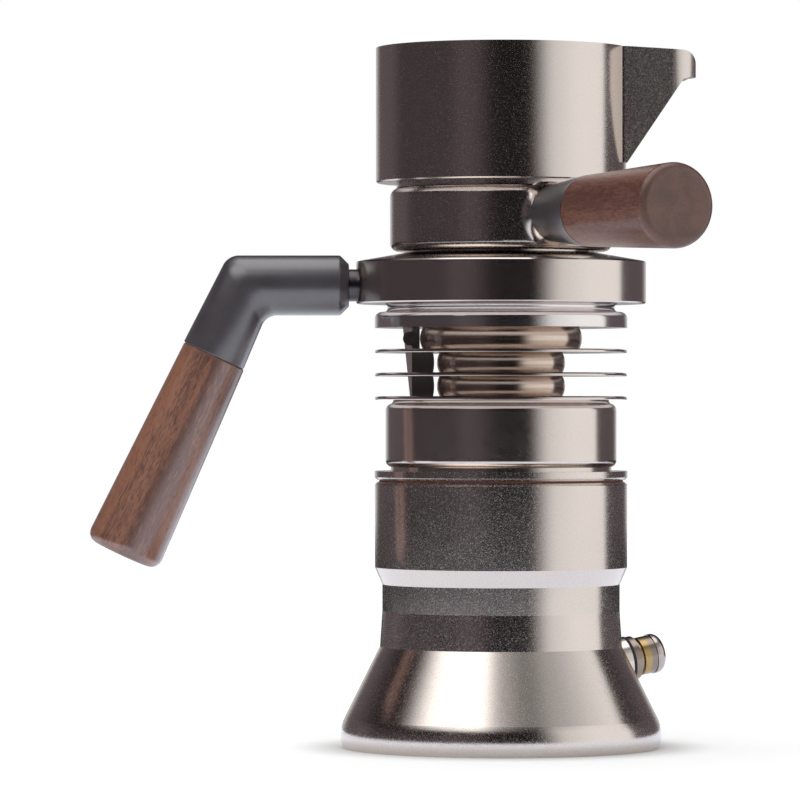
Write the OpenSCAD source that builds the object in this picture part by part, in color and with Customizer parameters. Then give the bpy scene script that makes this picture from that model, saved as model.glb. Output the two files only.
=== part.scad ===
// Stovetop espresso maker: bell-shaped boiler, finned upper boiler, screw-on jug.
// Millimetres. Origin on the axis at the underside of the foot, +Z up.
// The pouring lip points to +X, the long handle to -X.

/* [Boiler] */
// Radius of the foot at its widest
foot_r = 50; // [47:0.5:53]
// Radius of the rounded foot edge
foot_round = 12; // [9:0.5:13]
// Height at which the foot is widest
foot_widest_z = 4; // [3:0.25:6]
// Radius at the top of the bell, where the crease runs
bell_r = 37.75; // [37.25:0.25:38.75]
// Height of the crease at the top of the bell
bell_z = 31.5; // [29:0.5:35]
// Radius of the straight neck above the bell
neck_r = 37; // [36.5:0.1:37.2]
// Height at which the straight neck starts
neck_z = 42.5; // [38:0.5:46]
// Height of the foot of the white undercut cone
shoulder_z = 50.9; // [48:0.5:53]
// Height of the undercut cone
shoulder_h = 5.3; // [3:0.1:7]
// Radius of the boiler's upper cylinder
boiler_r = 39.3; // [38.8:0.1:41]
// Height of the boiler's top edge
boiler_h = 82.8; // [78:0.1:90]
// Thickness of the boiler floor
boiler_floor = 6; // [4:0.5:8]
// Thickness of the bell's wall, square to the cone
bell_wall = 4; // [3:0.25:5]

/* [Relief valve] */
// Height on the bell at which the valve is screwed in
relief_z = 26; // [23:0.25:26.5]
// Direction of the valve round the axis, from +X towards +Y
relief_azimuth = 24; // [0:2:60]
// Rise of the valve above the level
relief_rise = 10; // [6:1:18]
// Height of the boss that the valve is screwed into
relief_boss = 2.4; // [2.2:0.1:3.5]
// Radius of the washer and of the flange above it
relief_flange_r = 6.9; // [6.5:0.1:7.2]
// Thickness of the sealing washer
relief_washer_t = 1; // [0.6:0.1:1.5]
// Radius of the screwed stem
relief_stem_r = 4.6; // [4.2:0.1:5]
// Radius of the valve body
relief_body_r = 6; // [5.6:0.1:6.4]
// Height of the valve body above the washer
relief_body_h = 8.2; // [8:0.2:12]
// Radius of the end cap's rim
relief_cap_r = 6.3; // [6.2:0.1:7]
// Height of the end cap
relief_cap_h = 3.4; // [3:0.1:4]

/* [Seal and flange] */
// Thickness of the boiler gasket
gasket_t = 0.7; // [0.5:0.1:1.2]
// Radius of the boiler gasket
gasket_r = 38; // [37:0.1:38.2]
// Bevel of the two edges beside the gasket
gasket_bevel = 0.8; // [0.3:0.1:1]
// Radius of the closing flange
flange_r = 39.4; // [38.5:0.1:41]
// Thickness of the closing flange's rim
flange_t = 2.7; // [2:0.1:3.5]
// Radius of the screwed spigot under the flange
spigot_r = 33.5; // [32.5:0.25:33.5]
// Length of the screwed spigot
spigot_h = 14; // [10:0.5:16]
// Wall of the screwed spigot
spigot_wall = 5; // [3:0.5:6]
// Outer radius of the dip tube
dip_r = 4; // [3.5:0.25:5]
// Gap between the dip tube's foot and the boiler floor
dip_gap = 4; // [2:0.5:8]

/* [Upper boiler] */
// Radius of the upper boiler drum
drum_r = 36; // [35:0.25:38]
// Height of the drum
drum_h = 21; // [21:0.5:26]
// Edge radius of the drum
drum_round = 2.2; // [0.5:0.1:2.3]
// Depth of the groove between the drum and the flange
drum_groove = 1.6; // [0.8:0.1:1.8]
// Height of that groove
drum_groove_h = 1.2; // [0.8:0.1:2]
// Wall of the drum
drum_wall = 3; // [2:0.25:4]
// Radius of the step on top of the drum
step_r = 33.6; // [32.5:0.1:33.7]
// Height of the step on top of the drum
step_h = 1.2; // [0.8:0.1:2]
// Radius of the pressure valve's housing
pressure_r = 9; // [8:0.5:11]
// Height of the pressure valve's housing above the flange
pressure_h = 9.8; // [9:0.2:10.4]
// Radius of the heat exchange coil's tube
coil_tube_r = 2; // [1.5:0.1:2.2]
// Turns of the coil along the drum wall
coil_turns = 2.25; // [1.25:0.25:2.25]

/* [Heat sink] */
// Radius of the cooling fins
fin_r = 39.3; // [36:0.1:42]
// Thickness of a fin
fin_t = 1.1; // [0.8:0.1:1.6]
// Width of the bevel on a fin's upper edge
fin_bevel = 2.2; // [1:0.1:4]
// Radius of a spool between two fins
spool_r = 19.2; // [17:0.1:20]
// Height of a spool
spool_h = 6.2; // [5:0.1:8]
// How far a spool bulges at mid height
spool_rise = 0.8; // [0.4:0.1:1]
// Outer radius of the riser tube
riser_r = 6; // [5:0.25:7]

/* [Vent post] */
// Distance of the vent post's middle from the axis
vent_x = 24.5; // [24:0.1:26]
// Width of the post
vent_w = 6.6; // [5:0.1:7]
// Depth of the post
vent_d = 6; // [4:0.5:7]
// How far the post bulges between two fins
vent_rise = 0.35; // [0.2:0.05:0.6]
// Reach of the post's slanted side at its foot
vent_foot_x = 28.3; // [28.1:0.1:29]
// Reach of the post's slanted side at its top
vent_top_x = 30.6; // [30:0.1:33]
// Radius of the vent's eye
eye_r = 2.2; // [1.8:0.1:2.6]

/* [Group head] */
// Radius of the barrel under the top disc
barrel_r = 24.4; // [23.5:0.1:25]
// Height of the barrel
barrel_h = 6.7; // [6:0.1:8]
// How far the barrel bulges at mid height
barrel_rise = 0.9; // [0.5:0.1:1.2]
// Radius of the top disc
disc_r = 39.4; // [38:0.1:42]
// Thickness of the top disc
disc_h = 4.9; // [4.4:0.1:6]
// Edge radius of the top disc
disc_round = 2.1; // [0.5:0.1:2.2]
// Radius of the neck above the top disc
head_neck_r = 35.4; // [34.5:0.1:36]
// Height of the neck above the top disc
head_neck_h = 2.6; // [2:0.1:3.6]
// Radius of the well that holds the basket
well_r = 22.2; // [21:0.1:22.4]
// Floor of the well
well_floor = 2.3; // [2:0.1:3]
// Height of the basket seat above the neck
seat_h = 2.3; // [1.5:0.1:3]
// Radius of the screwed seat under the collar
seat_r = 33.6; // [31:0.1:35]
// Radius of the collar
collar_r = 45.2; // [43:0.1:48]
// Height of the collar's side
collar_h = 13.2; // [12.5:0.1:15]
// Rise of the collar's conical top
collar_rise = 1.3; // [0.5:0.1:1.8]
// Gap between basket wall and well
basket_gap = 0.3; // [0.2:0.05:0.6]
// Wall of the basket
basket_wall = 0.6; // [0.4:0.1:1]
// Gap between the basket's floor and the well's floor
basket_lift = 2; // [1.6:0.1:4]
// Thickness of the group gasket
group_gasket_t = 2; // [1.5:0.1:3]

/* [Long handle] */
// Height of the stud's axis above the collar's underside
stud_lift = 5.75; // [5.4:0.05:7]
// Radius of the stud
stud_r = 5; // [4:0.1:5]
// Distance from the axis to the socket end of the elbow
elbow_start = 49; // [48:0.25:52]
// Distance from the axis to the elbow's corner
elbow_corner = 79.2; // [76:0.2:84]
// Radius of the elbow's level arm
elbow_r = 9.35; // [8.5:0.05:10]
// Chamfer at the socket end
elbow_chamfer = 3; // [2:0.1:3.4]
// Slant of the grip from the vertical
grip_slant = 25; // [15:1:35]
// Length of the elbow's slanted arm
elbow_arm = 24.2; // [22:0.2:28]
// Radius of the grip at the seam
grip_r0 = 10.25; // [9.5:0.05:11]
// Radius of the grip at its end
grip_r1 = 12.15; // [11:0.05:13]
// Length of the grip
grip_len = 68.3; // [55:0.5:80]
// Edge radius of the grip's end
grip_round = 3.5; // [1:0.1:4]
// Radius of the rods inside both grips
rod_r = 3; // [2:0.1:3.5]

/* [Jug] */
// Radius of the jug's screwed neck
jug_neck_r = 27.8; // [27.2:0.1:28.4]
// Gap between the collar's top and the jug's underside
jug_gap = 1.8; // [1.4:0.1:4]
// Radius of the jug's lower body
jug_low_r = 34.6; // [34:0.1:35.4]
// Height of the jug's lower cylinder
jug_low_h = 19.8; // [19.4:0.1:21]
// Edge radius under the lower body
jug_round = 2.6; // [1:0.1:3]
// Edge radius at the top of the lower body
jug_top_round = 3; // [1.5:0.1:3.5]
// Depth of the groove between the lower body and the cup
jug_groove = 2; // [1:0.1:2.4]
// Height of that groove
jug_groove_h = 1.6; // [1:0.1:2.5]
// Radius of the cup
cup_r = 39; // [38.2:0.1:41]
// Height of the cup
cup_h = 42; // [40:0.5:48]
// Wall of the jug
jug_wall = 1.6; // [1.2:0.1:2]
// Thickness of the jug's floor
jug_floor = 2.6; // [2.2:0.1:3]
// Reach of the lip from the axis
lip_x = 60.8; // [56:0.2:64]
// Radius of the lip's nose seen from above
lip_nose_r = 9; // [7:0.25:11]
// Half angle of the lip seen from above
lip_angle = 8; // [5:0.5:14]
// Height above the cup's foot at which the lip leaves the wall
lip_root_z = 6; // [4:0.5:9]
// Slope of the lip's underside from the level
lip_slope = 56; // [52:0.5:58]
// Radius of the lip's drooping tip, seen from the side
lip_droop = 4.5; // [3.5:0.1:5]
// Drop of the lip's tip below the cup's rim
lip_drop = 0.9; // [0.5:0.1:1.5]
// Outer radius of the coffee chimney
chimney_r = 5.5; // [4.5:0.1:6.5]
// Height of the chimney above the jug's floor
chimney_h = 38; // [30:0.5:46]

/* [Jug handle] */
// Direction of the handle round the axis, from -Y towards +X
jug_handle_turn = 27; // [20:1:60]
// Height of the handle's axis above the jug's underside
jug_handle_lift = 10.8; // [10.6:0.1:11.4]
// Radius of the ferrule at the jug, and of the boss under it
ferrule_r0 = 8.4; // [8:0.1:9]
// Distance from the axis to the start of the ferrule
ferrule_start = 37; // [36:0.25:39]
// Radius of the ferrule at the seam, and of the grip there
ferrule_r1 = 10.9; // [10:0.1:11.5]
// Distance from the axis to the seam
ferrule_end = 58; // [54:0.5:64]
// Radius of the jug grip at its end
jug_grip_r1 = 12.7; // [11.5:0.1:13.5]
// Distance from the axis to the end of the jug grip
jug_grip_end = 110; // [100:0.5:125]
// Edge radius of the jug grip's end
jug_grip_round = 2.5; // [1:0.1:4]

/* [Fits] */
// Radial clearance between screwed or sliding pieces that turn on each other
running = 0.35; // [0.3:0.01:0.45]
// Radial clearance of pieces fixed in a bore
fit = 0.05; // [0.03:0.01:0.1]

/* [Hidden] */
$fn = 96;
over = 1;

// Bell: a cone that runs as a tangent from the crease into the rounded foot
bell_centre = [foot_r - foot_round, foot_widest_z];
bell_top = [bell_r, bell_z];
bell_run = bell_top - bell_centre;
bell_tilt = atan2(bell_run.y, bell_run.x) - acos(foot_round / norm(bell_run));
bell_foot = bell_centre + foot_round * [cos(bell_tilt), sin(bell_tilt)];
foot_under_r = bell_centre.x + sqrt(foot_round ^ 2 - foot_widest_z ^ 2);
bell_wall_level = bell_wall / cos(bell_tilt);
mouth_r = spigot_r + running;
function bell_at(z) = bell_r + (bell_z - z) * tan(bell_tilt);

// Heights of the stack, from the boiler's edge upwards
flange_z = boiler_h + gasket_t;
drum_z = flange_z + flange_t;
step_z = drum_z + drum_h;
fin_z = step_z + step_h;
fin_pitch = fin_t + spool_h;
barrel_z = fin_z + 2 * fin_pitch + fin_t;
disc_z = barrel_z + barrel_h;
head_neck_z = disc_z + disc_h;
collar_z = head_neck_z + head_neck_h;
seat_z = collar_z + seat_h;
collar_top = collar_z + collar_h + collar_rise;

// Relief valve, along its own axis from the face of its boss
relief_top = relief_washer_t + relief_body_h;
relief_stem_in = relief_boss + bell_wall + 2;
relief_boss_r = 7.2;
relief_boss_in = 3;
relief_round = 2.6;
relief_seat = relief_washer_t + 1;
relief_chamber_r = 4.2;
relief_poppet_r = 3.6;
relief_poppet_t = 2;
relief_pin_r = 1.2;
relief_pin_out = 1;
relief_orifice_r = 1.8;
relief_end = relief_top + relief_cap_h;
relief_lid = 1.4;
relief_rim = 0.3;
relief_pin_gap = 0.4;
relief_flange_h = 2.2;
relief_groove = 0.7;
relief_groove_h = 1;
relief_groove_edge = 0.3;
relief_wire = 0.45;
wire_gap = 0.05;

// Closing flange and pressure valve
flange_plate = 3;
dip_wall = 1;
register_h = 1.2;
valve_seat_z = drum_z + 1;
valve_chamber_r = 5.2;
valve_orifice_r = 2;
valve_poppet_r = 4.6;
valve_poppet_t = 2;
valve_pin_r = 1.2;
valve_cap_t = 3;
valve_cap_in = 1.6;
valve_wire = 0.5;
valve_pin_gap = 0.4;
valve_top_z = drum_z + pressure_h;
drum_bore = drum_r - drum_wall;
drum_roof = step_z - drum_wall;

// Coil
coil_gap = 0.3;
coil_r = drum_bore - coil_gap - coil_tube_r;
coil_z0 = drum_z + register_h + coil_gap + coil_tube_r;
coil_z1 = drum_roof - coil_gap - coil_tube_r;
coil_inner_r = pressure_r + coil_tube_r + coil_gap;
coil_lead_turns = 0.5;

riser_wall = 2.5;
riser_in = 1;

// Vent post
vent_bore = 1.7;
vent_back = 8;
eye_x = vent_top_x - eye_r;
eye_z = barrel_z + barrel_h / 2;
eye_len = vent_d + 1;
eye_bore = eye_r - 0.9;
eye_sink = 1.5;

// Basket, gaskets and jug
well_z = barrel_z + well_floor;
collar_bore = jug_neck_r + running;
collar_edge = 0.4;
collar_lead = 1;
rim_t = 1;
rim_r = jug_neck_r;
basket_r = well_r - basket_gap;
basket_z = well_z + basket_lift;
screen_t = 1;
group_gasket_z = seat_z + rim_t;
neck_foot_z = group_gasket_z + group_gasket_t;
jug_z = collar_top + jug_gap;
jug_floor_z = jug_z + jug_floor;
jug_groove_z = jug_z + jug_low_h;
cup_z = jug_groove_z + jug_groove_h;
jug_inner_r = jug_low_r - jug_groove - jug_wall;
rim_z = cup_z + cup_h;
cup_edge = 0.4;
cup_floor = 2;
boss_hollow = 2.4;
boss_z = jug_low_r - 2.2;
floor_bevel = 1;
funnel_r = 21;
jug_screen_r = 22.6;
chimney_wall = 1.8;
outlet_r = 2;
jug_screen_z = neck_foot_z + 1;
lip_beak = 3.7;

// Handles
stud_z = collar_z + stud_lift;
stud_in = 7;
stud_out = 11;
rod_in_elbow = 8;
rod_in_grip = 45;
jug_handle_z = jug_z + jug_handle_lift;
jug_rod_in = 38;
seam = 0.4;

nickel = "#9a918c";
brass = "#a8894e";
steel = "#8c8c90";
silicone = "#8a3b2c";
walnut = "#6f4433";
dark_coat = "#4b474c";

// Outline of a ring or disc, with rounded outer edges where a radius is given
module ring_outline(inner, outer, low, high, low_round = 0, high_round = 0) {
    translate([inner, low + low_round])
        square([outer - inner, high - low - low_round - high_round]);
    if (low_round > 0) {
        translate([inner, low])
            square([outer - low_round - inner, low_round]);
        translate([outer - low_round, low + low_round])
            circle(low_round);
    }
    if (high_round > 0) {
        translate([inner, high - high_round])
            square([outer - high_round - inner, high_round]);
        translate([outer - high_round, high - high_round])
            circle(high_round);
    }
}

// Outline of a barrel: a ring whose side bulges in a circular arc between its two ends
module barrel_outline(inner, end_r, rise, low, high) {
    round = ((high - low) ^ 2 / 4 + rise ^ 2) / (2 * rise);
    ring_outline(inner, end_r - rise, low, high);
    intersection() {
        translate([end_r + rise - round, (low + high) / 2])
            circle(round);
        translate([end_r / 2, low])
            square([end_r, high - low]);
    }
}

// Holes through a plate, in rings round the axis: 6 in the first, 12 in the second
module sieve_holes(rings, step, r, low, high) {
    for (ring = [0:rings], i = [0:max(1, 6 * ring) - 1])
        rotate(360 * i / max(1, 6 * ring))
            translate([ring * step, 0, low])
                cylinder(r = r, h = high - low, $fn = 24);
}

// Tube swept along a path that winds round the axis
function unit(v) = v / norm(v);
function along(path, i) = unit(path[min(i + 1, len(path) - 1)] - path[max(i - 1, 0)]);
function ring_at(path, i, r, sides) =
    let (t = along(path, i), side = unit(cross(t, [path[i].x, path[i].y, 0])), out = cross(side, t))
    [for (j = [0:sides - 1]) path[i] + r * (cos(360 * j / sides) * out + sin(360 * j / sides) * side)];
module wound_tube(path, r, sides) {
    last = (len(path) - 1) * sides;
    polyhedron(
        points = [for (i = [0:len(path) - 1]) each ring_at(path, i, r, sides)],
        faces = concat(
            [for (i = [0:len(path) - 2], j = [0:sides - 1])
                let (a = i * sides + j, b = i * sides + (j + 1) % sides)
                each [[a, a + sides, b + sides], [a, b + sides, b]]],
            [for (j = [1:sides - 2]) [0, j, j + 1]],
            [for (j = [1:sides - 2]) [last, last + j + 1, last + j]]));
}
function spring_path(r, low, high, turns, steps) =
    [for (i = [0:turns * steps])
        let (a = 360 * i / steps, f = i / (turns * steps))
        [r * cos(a), r * sin(a), low + (high - low) * f]];

// Places children on the relief valve's axis, at the face of its boss
module on_relief_axis() {
    rotate(relief_azimuth)
        translate([bell_at(relief_z), 0, relief_z])
            rotate([0, 90 - relief_rise, 0])
                translate([0, 0, relief_boss])
                    children();
}

// Places children on the slanted arm of the long handle, at the elbow's corner
module on_grip_axis() {
    translate([-elbow_corner, 0, stud_z])
        rotate([0, 180 + grip_slant, 0])
            children();
}

// Places children on the jug handle's level axis
module on_jug_handle_axis() {
    rotate(jug_handle_turn - 90)
        translate([0, 0, jug_handle_z])
            rotate([0, 90, 0])
                children();
}

// Turned grip: a slow taper with a rounded end and a bore for its rod
module turned_grip(r0, r1, length, round, bore_depth) {
    difference() {
        rotate_extrude() {
            polygon([
                [0, 0], [r0 - seam, 0], [r0, seam], [r1, length - round], [r1 - round, length],
                [0, length]]);
            translate([r1 - round, length - round])
                circle(round);
        }
        translate([0, 0, -over])
            cylinder(r = rod_r + fit, h = bore_depth + over);
    }
}

// Boiler: one turned bell with a closed floor, a screwed mouth and a boss for the valve
module base_boiler() color(nickel) difference() {
    union() {
        rotate_extrude() {
            polygon([
                [0, 0], [foot_under_r, 0], bell_centre, bell_foot, bell_top, [neck_r, neck_z],
                [neck_r, shoulder_z], [boiler_r, shoulder_z + shoulder_h],
                [boiler_r, boiler_h - gasket_bevel], [boiler_r - gasket_bevel, boiler_h],
                [0, boiler_h]]);
            intersection() {
                translate(bell_centre)
                    circle(foot_round);
                square([foot_r + over, bell_z]);
            }
        }
        on_relief_axis()
            translate([0, 0, -relief_boss - relief_boss_in])
                cylinder(r = relief_boss_r, h = relief_boss + relief_boss_in);
    }
    rotate_extrude()
        polygon([
            [0, boiler_floor],
            [bell_at(boiler_floor) - bell_wall_level, boiler_floor],
            [mouth_r, bell_z - (mouth_r + bell_wall_level - bell_r) / tan(bell_tilt)],
            [mouth_r, boiler_h + over],
            [0, boiler_h + over]]);
    on_relief_axis()
        translate([0, 0, -relief_stem_in - over])
            cylinder(r = relief_stem_r + fit, h = relief_stem_in + 2 * over);
}

module relief_washer() color("#3a3634") on_relief_axis() rotate_extrude()
    ring_outline(relief_stem_r + fit, relief_flange_r + relief_rim, 0, relief_washer_t);

// Valve body: stem, flange, groove and barrel, bored for the poppet and its spring
module relief_body() color(brass) on_relief_axis() rotate_extrude() {
    groove_r = relief_body_r - relief_groove;
    groove_z = relief_washer_t + relief_flange_h + relief_groove_edge;
    polygon([
        [relief_orifice_r, -relief_stem_in],
        [relief_stem_r, -relief_stem_in],
        [relief_stem_r, relief_washer_t],
        [relief_flange_r, relief_washer_t],
        [relief_flange_r, relief_washer_t + relief_flange_h],
        [groove_r, groove_z],
        [groove_r, groove_z + relief_groove_h],
        [relief_body_r, groove_z + relief_groove_h + relief_groove_edge],
        [relief_body_r, relief_top],
        [relief_chamber_r, relief_top],
        [relief_chamber_r, relief_seat],
        [relief_orifice_r, relief_seat]]);
}

// End cap: a rounded rim that closes the spring chamber round the poppet's pin
module relief_cap() color(nickel) on_relief_axis() rotate_extrude() difference() {
    guide = relief_pin_r + relief_pin_gap;
    intersection() {
        ring_outline(guide, relief_cap_r, relief_top, relief_end, 0, relief_round);
        translate([guide, relief_top])
            square([relief_cap_r, relief_cap_h]);
    }
    translate([0, relief_top - over])
        square([relief_chamber_r, relief_cap_h - relief_lid + over]);
}

module relief_poppet() color(brass) on_relief_axis() {
    translate([0, 0, relief_seat])
        cylinder(r = relief_poppet_r, h = relief_poppet_t);
    translate([0, 0, relief_seat])
        cylinder(r = relief_pin_r, h = relief_end + relief_pin_out - relief_seat);
}

module relief_spring() color(steel) on_relief_axis() {
    end = relief_wire + wire_gap;
    wound_tube(
        spring_path(
            (relief_pin_r + relief_chamber_r) / 2, relief_seat + relief_poppet_t + end,
            relief_end - relief_lid - end, 6, 8),
        relief_wire, 6);
}

module boiler_gasket() color(silicone) rotate_extrude()
    ring_outline(spigot_r + running, gasket_r, boiler_h, flange_z);

// Closing flange: rim, screwed spigot below, and the pressure valve's housing above
module boiler_flange() color(nickel) difference() {
    rotate_extrude() {
        ring_outline(0, spigot_r, flange_z - spigot_h, flange_z);
        polygon([
            [0, flange_z], [flange_r - gasket_bevel, flange_z], [flange_r, flange_z + gasket_bevel],
            [flange_r, drum_z], [0, drum_z]]);
        ring_outline(0, drum_bore - fit, drum_z, drum_z + register_h);
        ring_outline(0, pressure_r, drum_z, valve_top_z);
    }
    translate([0, 0, flange_z - spigot_h - over])
        cylinder(r = spigot_r - spigot_wall, h = spigot_h - flange_plate + over);
    translate([0, 0, flange_z - flange_plate - over])
        cylinder(r = dip_r + fit, h = flange_plate + over + flange_t / 2);
    translate([0, 0, flange_z])
        cylinder(r = valve_orifice_r, h = valve_seat_z - flange_z + over);
    translate([0, 0, valve_seat_z])
        cylinder(r = valve_chamber_r, h = valve_top_z - valve_seat_z + over);
}

module dip_tube() color(steel) rotate_extrude()
    ring_outline(dip_r - dip_wall, dip_r, boiler_floor + dip_gap, flange_z + flange_t / 2);

module pressure_poppet() color(brass) {
    translate([0, 0, valve_seat_z])
        cylinder(r = valve_poppet_r, h = valve_poppet_t);
    translate([0, 0, valve_seat_z])
        cylinder(r = valve_pin_r, h = valve_top_z - valve_seat_z);
}

module pressure_spring() color(steel) {
    end = valve_wire + wire_gap;
    wound_tube(
        spring_path(
            (valve_pin_r + valve_chamber_r) / 2, valve_seat_z + valve_poppet_t + end,
            valve_top_z - valve_cap_in - end, 3, 8),
        valve_wire, 6);
}

// Cap of the pressure valve, with a bore that guides the poppet's pin
module pressure_cap() color(brass) rotate_extrude() {
    guide = valve_pin_r + valve_pin_gap;
    ring_outline(guide, valve_chamber_r - fit, valve_top_z - valve_cap_in, valve_top_z);
    ring_outline(guide, pressure_r, valve_top_z, valve_top_z + valve_cap_t);
}

// Drum of the upper boiler: rounded edges, and a step that carries the lowest fin
module upper_boiler() color(nickel) difference() {
    rotate_extrude() {
        ring_outline(0, drum_r - drum_groove, drum_z, step_z - drum_round);
        ring_outline(0, drum_r, drum_z + drum_groove_h, step_z, drum_round, drum_round);
        ring_outline(0, step_r, step_z, fin_z);
    }
    translate([0, 0, drum_z - over])
        cylinder(r = drum_bore, h = drum_roof - drum_z + over);
    translate([0, 0, drum_roof - over])
        cylinder(r = riser_r + fit, h = fin_z - drum_roof + 2 * over);
    translate([-vent_x, 0, drum_roof - over])
        cylinder(r = vent_bore, h = fin_z - drum_roof + 2 * over);
}

// Coil: spirals out from the valve, winds up the drum wall and spirals in to the riser
function coil_radius(turn, turns) =
    coil_inner_r + (coil_r - coil_inner_r)
        * min(1, turn / coil_lead_turns, (turns - turn) / coil_lead_turns);
module heat_exchange_coil() color(steel) {
    turns = coil_turns + 2 * coil_lead_turns;
    steps = 24;
    wound_tube(
        [for (i = [0:turns * steps])
            let (turn = i / steps, r = coil_radius(turn, turns), rise = (turn - coil_lead_turns) / coil_turns)
            [r * cos(360 * turn), r * sin(360 * turn),
                coil_z0 + (coil_z1 - coil_z0) * max(0, min(1, rise))]],
        coil_tube_r, 8);
}

// Cooling fin with a bevelled upper edge, pierced for the riser and the vent post
module fin(level) color(nickel) {
    low = fin_z + level * fin_pitch;
    edge = fin_t / 4;
    difference() {
        rotate_extrude()
            polygon([
                [riser_r + fit, low], [fin_r - edge, low], [fin_r, low + edge],
                [fin_r - fin_bevel, low + fin_t], [riser_r + fit, low + fin_t]]);
        translate([-vent_top_x - running, -vent_d / 2 - fit, low - over])
            cube([
                vent_top_x + running + vent_w / 2 + vent_rise + fit - vent_x,
                vent_d / 2 + vent_back + 2 * fit, fin_t + 2 * over]);
    }
}
module fin_lower() fin(0);
module fin_middle() fin(1);
module fin_upper() fin(2);

// Spool between two fins, bulging at mid height
module spool(level) color(nickel) rotate_extrude() {
    low = fin_z + fin_t + level * fin_pitch;
    barrel_outline(riser_r + fit, spool_r, spool_rise, low, low + spool_h);
}
module spool_lower() spool(0);
module spool_upper() spool(1);

module riser_tube() color(steel) rotate_extrude()
    ring_outline(riser_r - riser_wall, riser_r, drum_roof - riser_in, well_z);

// Vent post: a flat-faced bar that bulges between the fins, with a slanted side and an eye
module vent_bulge(level) {
    low = fin_z + fin_t + level * fin_pitch;
    round = (spool_h ^ 2 / 4 + vent_rise ^ 2) / (2 * vent_rise);
    intersection() {
        translate([-vent_x + vent_w / 2 + vent_rise - round, low + spool_h / 2])
            circle(round);
        translate([-vent_x, low])
            square([vent_w, spool_h]);
    }
}
module vent_post() color(nickel) difference() {
    union() {
        translate([0, vent_d / 2, 0])
            rotate([90, 0, 0])
                linear_extrude(vent_d) {
                    vent_bulge(0);
                    vent_bulge(1);
                    translate([-vent_x - vent_w / 2, fin_z])
                        square([vent_w, barrel_z - fin_z]);
                }
        vent_side();
        translate([-eye_x, eye_len / 2, eye_z])
            rotate([90, 0, 0])
                cylinder(r = eye_r, h = eye_len);
    }
    translate([-eye_x, eye_len / 2 + over, eye_z])
        rotate([90, 0, 0])
            cylinder(r = eye_bore, h = eye_len + 2 * over);
}

// Slanted side of the vent post: a wedge that grows to the back and to the top
module vent_side() intersection() {
    inner = -barrel_r - barrel_rise - fit;
    front = vent_w / 2 + vent_x - fit;
    translate([0, 0, fin_z])
        linear_extrude(disc_z - fin_z)
            polygon([
                [inner, fit - vent_d / 2], [-front, fit - vent_d / 2], [-vent_top_x, vent_back],
                [inner, vent_back]]);
    translate([0, vent_back + over, 0])
        rotate([90, 0, 0])
            linear_extrude(vent_back + vent_d)
                polygon([
                    [inner + over, fin_z], [-vent_foot_x, fin_z], [-vent_top_x, disc_z],
                    [inner + over, disc_z]]);
}

module vent_plug() color(brass)
    translate([-eye_x, eye_len / 2, eye_z])
        rotate([90, 0, 0])
            cylinder(r = eye_bore - fit, h = eye_len - eye_sink);

// Group head: bulging barrel, top disc and hollowed neck, with the basket's well inside
module group_head() color(nickel) difference() {
    hollow = head_neck_h / 2 + fit;
    rotate_extrude() {
        barrel_outline(0, barrel_r, barrel_rise, barrel_z, disc_z);
        ring_outline(0, disc_r, disc_z, head_neck_z, 0, disc_round);
        difference() {
            ring_outline(0, head_neck_r + hollow, head_neck_z, collar_z);
            translate([head_neck_r + hollow, head_neck_z + head_neck_h / 2])
                circle(hollow);
        }
        ring_outline(0, seat_r, collar_z, seat_z);
    }
    translate([0, 0, well_z])
        cylinder(r = well_r, h = seat_z - well_z + over);
    translate([0, 0, barrel_z - over])
        cylinder(r = riser_r + fit, h = well_floor + 2 * over);
}

// Plate that spreads the water under the basket
module shower_plate() color(steel) difference() {
    translate([0, 0, well_z])
        cylinder(r = well_r - fit, h = screen_t);
    sieve_holes(2, 7, 0.9, well_z - over, well_z + screen_t + over);
}

// Filter basket: a straight cup with a flat rim and a sieve floor
module filter_basket() color(steel) difference() {
    rotate_extrude() {
        ring_outline(basket_r - basket_wall, basket_r, basket_z, seat_z + rim_t);
        ring_outline(basket_r - basket_wall, rim_r, seat_z, seat_z + rim_t);
        ring_outline(0, basket_r, basket_z, basket_z + basket_wall);
    }
    sieve_holes(3, 5.5, 0.7, basket_z - over, basket_z + basket_wall + over);
}

// Collar: the ring that the jug screws into, with a blind hole for the handle's stud
module group_collar() color(nickel) difference() {
    rotate_extrude()
        polygon([
            [seat_r + fit, collar_z], [collar_r - collar_edge, collar_z],
            [collar_r, collar_z + collar_edge], [collar_r, collar_z + collar_h - collar_edge],
            [collar_r - collar_edge, collar_z + collar_h], [collar_bore + collar_lead, collar_top],
            [collar_bore, collar_top - collar_lead], [collar_bore, seat_z],
            [seat_r + fit, seat_z]]);
    translate([-collar_r + stud_in, 0, stud_z])
        rotate([0, -90, 0])
            cylinder(r = stud_r + fit, h = stud_in + over);
}

module handle_stud() color(steel)
    translate([-collar_r + stud_in, 0, stud_z])
        rotate([0, -90, 0])
            cylinder(r = stud_r, h = elbow_start + stud_out - collar_r + stud_in);

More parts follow.
